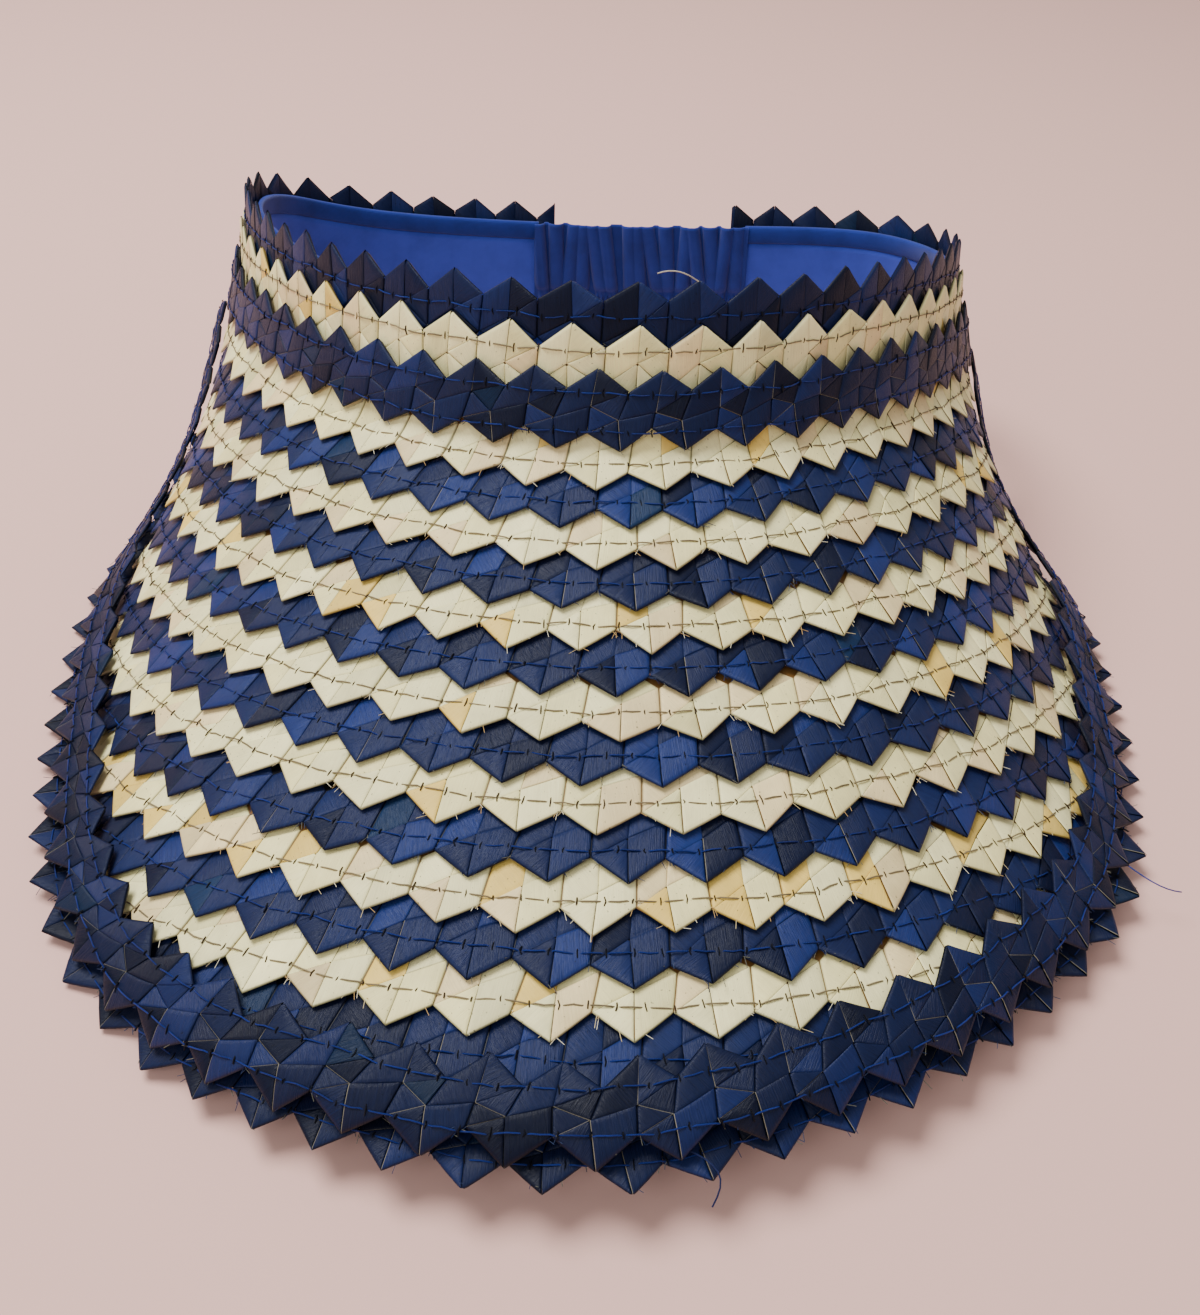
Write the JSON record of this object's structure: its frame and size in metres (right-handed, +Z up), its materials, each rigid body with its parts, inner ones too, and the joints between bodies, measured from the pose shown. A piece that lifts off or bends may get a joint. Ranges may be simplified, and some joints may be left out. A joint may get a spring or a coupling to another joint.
{
  "type": "straw visor",
  "caption": "Open-crowned sun visor sewn from sawtooth-edged plaited straw braids in dark blue and natural, with a cloth lining and a gathered elastic casing at the back.",
  "frame": {"origin": "middle of the bounding box at the height of the surface that the visor rests on", "axes": "+Z up from the resting surface, -Y the way the wearer faces (the brim's front), +X to the right when it is seen from the front"},
  "size_m": [0.2462, 0.2888, 0.0958],
  "materials": {
    "straw_blue": "satin",
    "straw_natural": "satin",
    "lining_cloth": "matte",
    "binding_cloth": "matte"
  },
  "bodies": {
    "root": {"crown_braid_1": "straw_blue", "crown_braid_2": "straw_natural", "crown_braid_3": "straw_blue", "brim_braid_04": "straw_natural", "brim_braid_05": "straw_blue", "brim_braid_06": "straw_natural", "brim_braid_07": "straw_blue", "brim_braid_08": "straw_natural", "brim_braid_09": "straw_blue", "brim_braid_10": "straw_natural", "brim_braid_11": "straw_blue", "brim_braid_12": "straw_natural", "brim_braid_13": "straw_blue", "brim_braid_14": "straw_natural", "brim_braid_15": "straw_blue", "brim_braid_16": "straw_natural", "brim_braid_17": "straw_blue", "border_braid_top": "straw_blue", "border_braid_under": "straw_blue", "lining": "lining_cloth", "lining_binding": "binding_cloth", "elastic_casing": "lining_cloth"}
  },
  "joints": []
}
